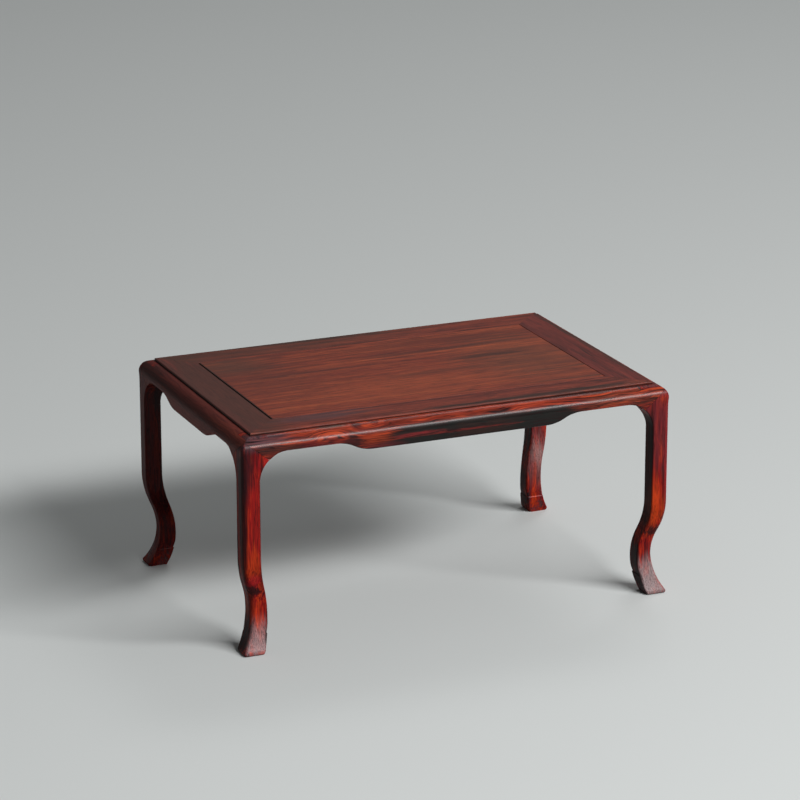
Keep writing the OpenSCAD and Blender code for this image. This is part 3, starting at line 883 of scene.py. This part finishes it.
@dataclass
class Legs:
    """Four S-curved legs, each sawn to one outline from both outer sides, with its head behind the mitres."""

    knee_z: float = 32.6
    bend_z: float = 21.8
    ankle_z: float = 13.4
    ankle_in: float = 3.6
    back_z: float = 12.2
    back_out: float = 3.3
    crease_z: float = 6.5
    crease: float = 0.26
    crease_run: float = 3.2
    crease_lip: float = 0.35  # how far below the crease the curve is back in its course
    crease_end: float = 0.2  # how far below the crease the cut goes on
    toe: float = 0.6
    instep_z: float = 0.99  # end of the close stations over the toe
    apex_rise: float = 3.24  # height in the shoulder at which the leg's skin ends between the mitres
    core_turn: float = 88.5  # degrees of the quarter round that the core follows
    corner: float = 1.8  # radius of the outer corner
    corner_least: float = 0.3  # share of it that is left at the ground and in the shoulder
    corner_fade: Span = (66.0, 6.0)  # height at which it starts to narrow, and the rise in which it would be gone
    side: float = 0.5
    side_at: Span = (2.1, 2.3)  # two points on the straight side, in from the outer face
    inner: float = 0.8
    inner_at: float = 1.6  # a point on the inner face, out from the inner corner
    least: Span = (0.03, 0.05)  # radii of the edges in the joint
    steps_in: Span = (0.1, 0.2)  # width of the core's two steps
    hair: float = 0.01  # smallest distance between two stations
    wood: Rosewood = LEG_WOOD

    def build(self) -> None:
        """Builds and dresses the four legs."""
        wood = self.wood.material()
        for corner, right, back in CORNERS:
            dress(self.leg(f"{corner}_leg_wood", right, back), wood, f"{corner}_leg")

    def face_in(self, z: Array) -> Array:
        """Depth of the outer face: a reverse curve from the knee down to the ankle and out again to a rounded toe."""
        curve = double_arc(self.knee_z - z, self.knee_z - self.ankle_z, self.ankle_in, self.knee_z - self.bend_z)
        toe = self.toe - np.sqrt(self.toe**2 - np.clip(self.toe - z, 0, self.toe) ** 2)
        return np.maximum(curve, toe) + SIZES.shoulder_in(z)

    def back_in(self, z: Array) -> Array:
        """Depth of the inner face: the same kind of curve behind the leg's thickness, and the arch above it.

        Just above the foot the curve is cut back by the square of the way down to a crease, and returns below it.
        """
        curve = double_arc(self.knee_z - z, self.knee_z - self.back_z, self.back_out, self.knee_z - self.bend_z)
        way_down = np.clip(1 - (z - self.crease_z) / self.crease_run, 0, 1)
        cut = self.crease * way_down**2 * (z > self.crease_z - self.crease_end)
        return np.minimum(np.where(z > SIZES.arch_z, SIZES.arch_in_at(z), SIZES.leg + curve - cut), SIZES.head)

    def stations(self) -> tuple[Array, int, float]:
        """Heights of the rings, the number of them below the mitre, and the height at which only the core goes on."""
        lip, cut = self.crease_z - self.crease_lip, self.crease_z + self.crease_run
        toe = ((0.0, 4), (self.toe, 3), (self.instep_z, 10))
        foot = spread(*toe, (lip, 1), (self.crease_z, 8), (cut, 20), (self.bend_z, 1))
        shank = spread((self.bend_z, 18), (self.knee_z, 4), (SIZES.arch_z, 22), (SIZES.mitre_z - 2 * self.hair, 1))
        apex = SIZES.round_z + self.apex_rise
        head = spread((SIZES.mitre_z, 3), (SIZES.round_z, 2), (SIZES.rail_z - self.hair, 1))
        arms = spread((SIZES.rail_z, 8), (apex, 1))
        skin_turn = math.acos(1 - SIZES.skin / SIZES.shoulder_r)
        turn = np.linspace(skin_turn, math.radians(self.core_turn), 12)
        core = [apex + self.hair, *(SIZES.round_z + SIZES.shoulder_r * np.sin(turn))]
        body = np.concatenate([foot[:-1], shank])
        return np.concatenate([body, head, arms, core]), body.size, apex + self.hair / 2

    def leg(self, name: str, right: int, back: int) -> Object:
        """A leg: at each height a ring that is the same on both sides of the corner's diagonal.

        Below the mitre the ring is a square with a round outer corner. Above it the ring steps back by the aprons'
        skin, and beside the frame it is an angle with two arms. Half of the ring is worked out from the outer corner
        to the inner one, and the other half swaps the two distances.

        Args:
            name: Name of the piece.
            right: 1 for the right side of the stand, else -1.
            back: 1 for the back of the stand, else -1.

        Returns:
            The new piece.
        """
        z, body_size, core_z = self.stations()
        is_body, is_core, has_arms = np.arange(z.size) < body_size, z > core_z, z >= SIZES.rail_z
        face, depth = self.face_in(z), self.back_in(z)
        step = np.maximum(SIZES.skin, face)
        first = np.where(is_core, step, face)
        mitre = SIZES.mitre_from(z) - SIZES.seam
        skin_end = np.where(is_body, depth, np.where(is_core, step + self.steps_in[0], mitre))
        across = np.where(is_body, depth, np.where(is_core, step + self.steps_in[1], skin_end))
        side_from, arm_from = (np.where(is_body, face + at, step) for at in self.side_at)
        arm_end = np.where(is_body, depth, SIZES.head)
        inner = np.where(has_arms, SIZES.shoulder_r - self.hair / 2, depth)
        inner_from = np.where(has_arms, inner, inner - self.inner_at)
        outer_part = ((first, first), (skin_end, first), (across, side_from))
        pairs = (*outer_part, (arm_end, arm_from), (arm_end, inner_from), (inner, inner))
        half = np.stack([np.stack(pair, axis=-1) for pair in pairs], axis=1)
        corners = np.concatenate([half, half[:, -2:0:-1, ::-1]], axis=1)
        least, (fade_z, fade) = self.corner_least, self.corner_fade
        low_share = np.clip(least + (1 - least) * z / self.ankle_z, 0, 1)
        high_share = np.clip(1 - (z - fade_z) / fade, least, 1)
        radii = np.zeros(corners.shape[:2])
        radii[:, 0] = np.where(is_core, self.least[1], self.corner * low_share * high_share)
        radii[:, 1] = radii[:, 9] = np.where(is_body, self.side, self.least[0])
        radii[:, 5] = np.where(has_arms, self.least[1], self.inner)
        ring = rounded(corners, radii, (8, 4, 0, 0, 0, 5, 0, 0, 0, 4))
        x = right * (SIZES.length / 2 - ring[..., 0])
        y = back * (SIZES.width / 2 - ring[..., 1])
        up = np.broadcast_to(z[:, None], x.shape)
        return loft(name, np.stack([x, y, up], axis=-1))


# ---- Studio ----


@dataclass
class Studio:
    """Pale floor, soft light from the front and right, and the camera."""

    floor_half: float = 4.0
    aim: Point = (0.0, 0.0, 0.04)  # what the lamps face
    bright_way: Point = (0.55, 0.75, 0.3)  # where the light from all round is brightest
    bright_span: Span = (-0.5, 0.9)  # from the dim side to the bright one, along that way
    bright_ends: Span = (0.035, 0.22)  # strength of the light at these two
    tint: Colour = (0.97, 1.0, 1.0, 1.0)
    lens: float = 159.30
    sensor: float = 36.0
    clip: Span = (0.05, 50.0)
    place: Point = (-0.44255, -1.03318, 0.41332)
    yaw: float = -23.1773
    pitch: float = 17.3378
    roll: float = -0.0511

    def build(self) -> None:
        """Makes the floor, the lights and the camera."""
        self.floor()
        self.lamp("key_light", (0.62, -1.2, 1.05), (1.2, 0.26), 32.0)
        self.lamp("back_light", (0.9, 1.0, 1.5), (0.8, 0.5), 5.0)
        self.world()
        self.camera()

    def floor(self) -> None:
        """A flat grid of four points at floor level."""
        half = self.floor_half
        mesh = bpy.data.meshes.new("floor")
        mesh.from_pydata([(-half, -half, 0), (half, -half, 0), (half, half, 0), (-half, half, 0)], [], [(0, 1, 2, 3)])
        board = new_object("floor", mesh)
        board.data.materials.append(Backdrop().material())

    def lamp(self, name: str, place: Point, size: Span, watts: float) -> None:
        """A soft box that faces the stand.

        Args:
            name: Name of the lamp.
            place: Middle of the box in metres.
            size: Its width and height in metres.
            watts: Its power.
        """
        light = bpy.data.lights.new(name, "AREA")
        light.shape, light.size, light.size_y, light.energy = "RECTANGLE", *size, watts
        back = np.array(place) - np.array(self.aim)
        back /= np.linalg.norm(back)
        across = np.cross([0.0, 0.0, 1.0], back)
        across /= np.linalg.norm(across)
        new_object(name, light).matrix_world = axes(across, np.cross(back, across), back, place)

    def world(self) -> None:
        """Grey light from all round, brighter at the back and right than at the left."""
        world = bpy.data.worlds.new("soft_light")
        world.use_nodes = True
        tree = world.node_tree
        tree.nodes.clear()
        way = add(tree, "TexCoord").outputs["Generated"]
        side = add(tree, "VectorMath", {0: way, 1: self.bright_way}, operation="DOT_PRODUCT").outputs["Value"]
        level = ramp(tree, side, self.bright_span, self.bright_ends)
        light = add(tree, "Background", {"Color": self.tint, "Strength": level})
        add(tree, "OutputWorld", {"Surface": light.outputs[0]})
        bpy.context.scene.world = world

    def camera(self) -> None:
        """The camera from its place, heading and lens."""
        yaw, pitch, roll = (math.radians(a) for a in (self.yaw, self.pitch, self.roll))
        back = np.array([math.sin(yaw) * math.cos(pitch), -math.cos(yaw) * math.cos(pitch), math.sin(pitch)])
        level = np.array([math.cos(yaw), math.sin(yaw), 0.0])
        rise = np.cross(back, level)
        right = level * math.cos(roll) + rise * math.sin(roll)
        up = -level * math.sin(roll) + rise * math.cos(roll)
        data = bpy.data.cameras.new("camera")
        data.lens, data.sensor_width, data.sensor_fit = self.lens, self.sensor, "HORIZONTAL"
        data.clip_start, data.clip_end = self.clip
        camera = new_object("camera", data)
        camera.matrix_world = axes(right, up, back, self.place)
        bpy.context.scene.camera = camera


def main() -> None:
    """Builds the stand and the studio."""
    logging.basicConfig(level=logging.INFO, format="%(name)s: %(message)s")
    bpy.context.scene.view_settings.view_transform = "Standard"
    for assembly in (Top(), Aprons(), Legs()):
        assembly.build()
    Studio().build()


if __name__ == "__main__":
    main()
